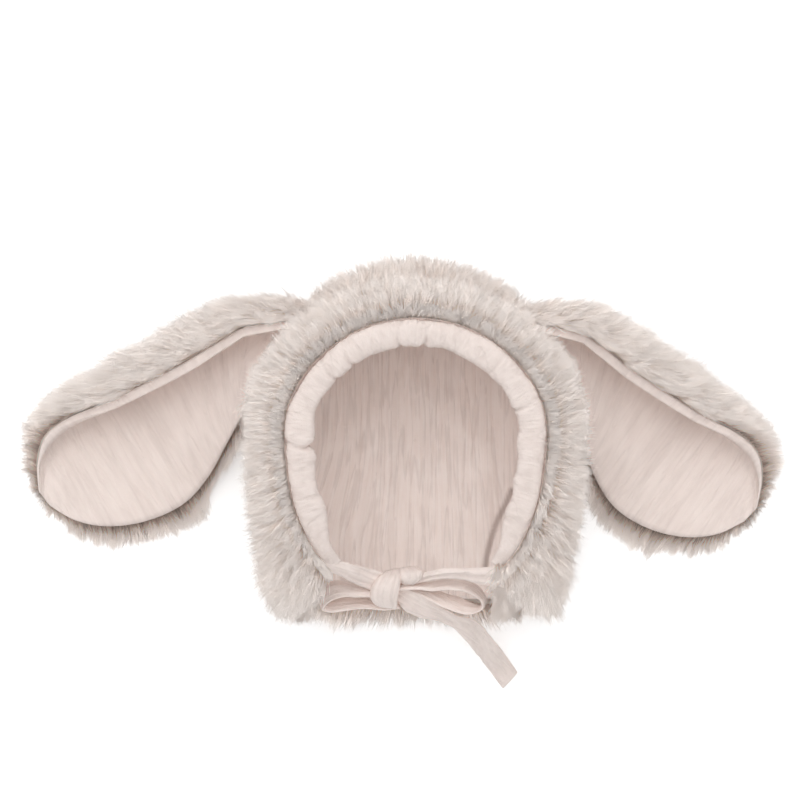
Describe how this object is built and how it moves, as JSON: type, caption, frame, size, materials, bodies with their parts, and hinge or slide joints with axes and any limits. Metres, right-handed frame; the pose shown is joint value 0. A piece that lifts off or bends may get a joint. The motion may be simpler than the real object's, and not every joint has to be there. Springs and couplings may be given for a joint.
{
  "type": "baby hat with ears",
  "caption": "Soft plush baby bonnet with long rabbit ears, crinkled cotton lining, padded face edge and ties done up in a bow.",
  "frame": {"origin": "on the surface that the hat lies on, under the middle of its back", "axes": "+Z out of the face opening, +Y towards the top of the head, +X to the right of someone who looks into the opening"},
  "size_m": [0.437, 0.2491, 0.1024],
  "materials": {
    "plush": "long soft pile, matt",
    "cotton_gauze": "crinkled double gauze, matt"
  },
  "bodies": {
    "root": {"crown_pile": "plush", "band_pile": "plush", "ear_left_pile": "plush", "ear_right_pile": "plush", "crown_lining": "cotton_gauze", "band_lining": "cotton_gauze", "face_rim": "cotton_gauze", "ear_left_lining": "cotton_gauze", "ear_right_lining": "cotton_gauze", "bow_knot": "cotton_gauze", "tie_left": "cotton_gauze", "tie_right": "cotton_gauze", "bow_loop_right": "cotton_gauze", "bow_loop_left": "cotton_gauze", "tie_tail_long": "cotton_gauze", "tie_tail_short": "cotton_gauze"}
  },
  "joints": []
}
